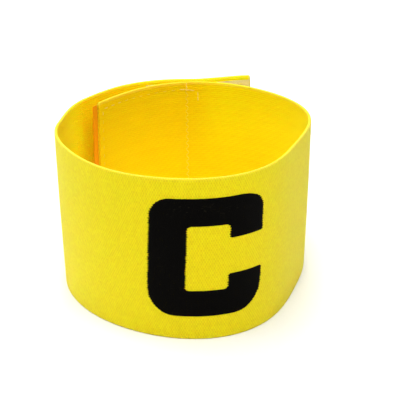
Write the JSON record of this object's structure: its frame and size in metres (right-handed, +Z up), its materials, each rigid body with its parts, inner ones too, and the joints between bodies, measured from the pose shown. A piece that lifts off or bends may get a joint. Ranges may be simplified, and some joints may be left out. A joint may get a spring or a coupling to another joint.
{
  "type": "captain armband",
  "caption": "Elastic webbing armband standing as an oval loop, closed at the back by hook and loop patches, with a block letter on the front.",
  "frame": {"origin": "bottom centre of the whole armband's box, on the surface that it stands on", "axes": "+Z up, along the axis of the loop where the arm goes through; the letter faces -Y and the closure is at +Y; +X is to the right seen from the front"},
  "size_m": [0.101, 0.1118, 0.0665],
  "materials": {
    "webbing": "bright yellow knitted elastic webbing, matte, with fine ribs along its length and plain selvedges",
    "loop_pile": "yellow brushed loop pile, matte",
    "hook_tape": "beige woven tape with rows of fine plastic hooks",
    "black_print": "matte black print soaked into the weave, with a fine saw-toothed edge"
  },
  "bodies": {
    "root": {"band": "webbing", "loop_patch": "loop_pile", "hook_patch": "hook_tape", "letter_c": "black_print"}
  },
  "joints": []
}
